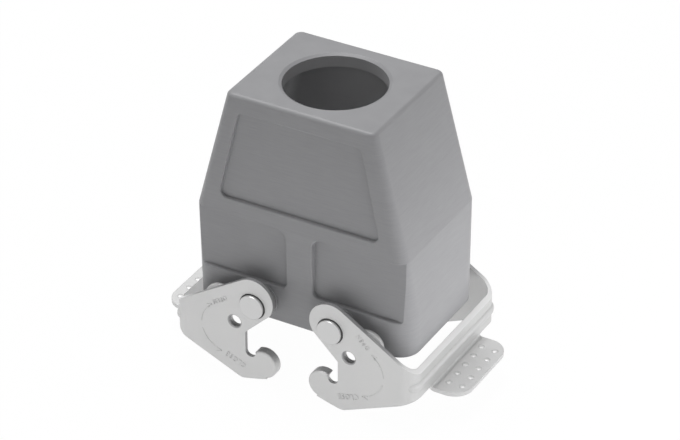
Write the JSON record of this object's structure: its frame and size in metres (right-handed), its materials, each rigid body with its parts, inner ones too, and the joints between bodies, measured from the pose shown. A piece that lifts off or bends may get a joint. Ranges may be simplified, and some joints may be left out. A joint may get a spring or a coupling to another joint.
{
  "type": "rectangular connector hood",
  "caption": "Die-cast hood of a heavy duty rectangular connector: tapered body with a round top cable entry and U-shaped steel locking levers hinged on its long sides.",
  "frame": {"origin": "middle of the mating rim", "axes": "+Z along the cable entry, away from the mating side; X along the long side; the levers turn about axes along Y"},
  "size_m": [0.103, 0.056, 0.094],
  "materials": {
    "casting": "matte grey powder coat on die-cast aluminium",
    "lever_steel": "satin stainless sheet",
    "stud_steel": "turned, satin",
    "button_steel": "satin"
  },
  "bodies": {
    "hood": {"hood_shell": "casting", "front_left_stud": "stud_steel", "front_right_stud": "stud_steel", "rear_left_stud": "stud_steel", "rear_right_stud": "stud_steel"},
    "left_lever_body": {"left_lever": "lever_steel", "front_left_button": "button_steel", "rear_left_button": "button_steel"},
    "right_lever_body": {"right_lever": "lever_steel", "front_right_button": "button_steel", "rear_right_button": "button_steel"}
  },
  "joints": [
    {"name": "left_lever_hinge", "type": "hinge", "parent": "hood", "child": "left_lever_body", "pos_m": [-0.0132, 0, 0.0064], "axis": [0, 1, 0], "range_deg": [0, 45]},
    {"name": "right_lever_hinge", "type": "hinge", "parent": "hood", "child": "right_lever_body", "pos_m": [0.0132, 0, 0.0064], "axis": [0, -1, 0], "range_deg": [0, 45]}
  ]
}
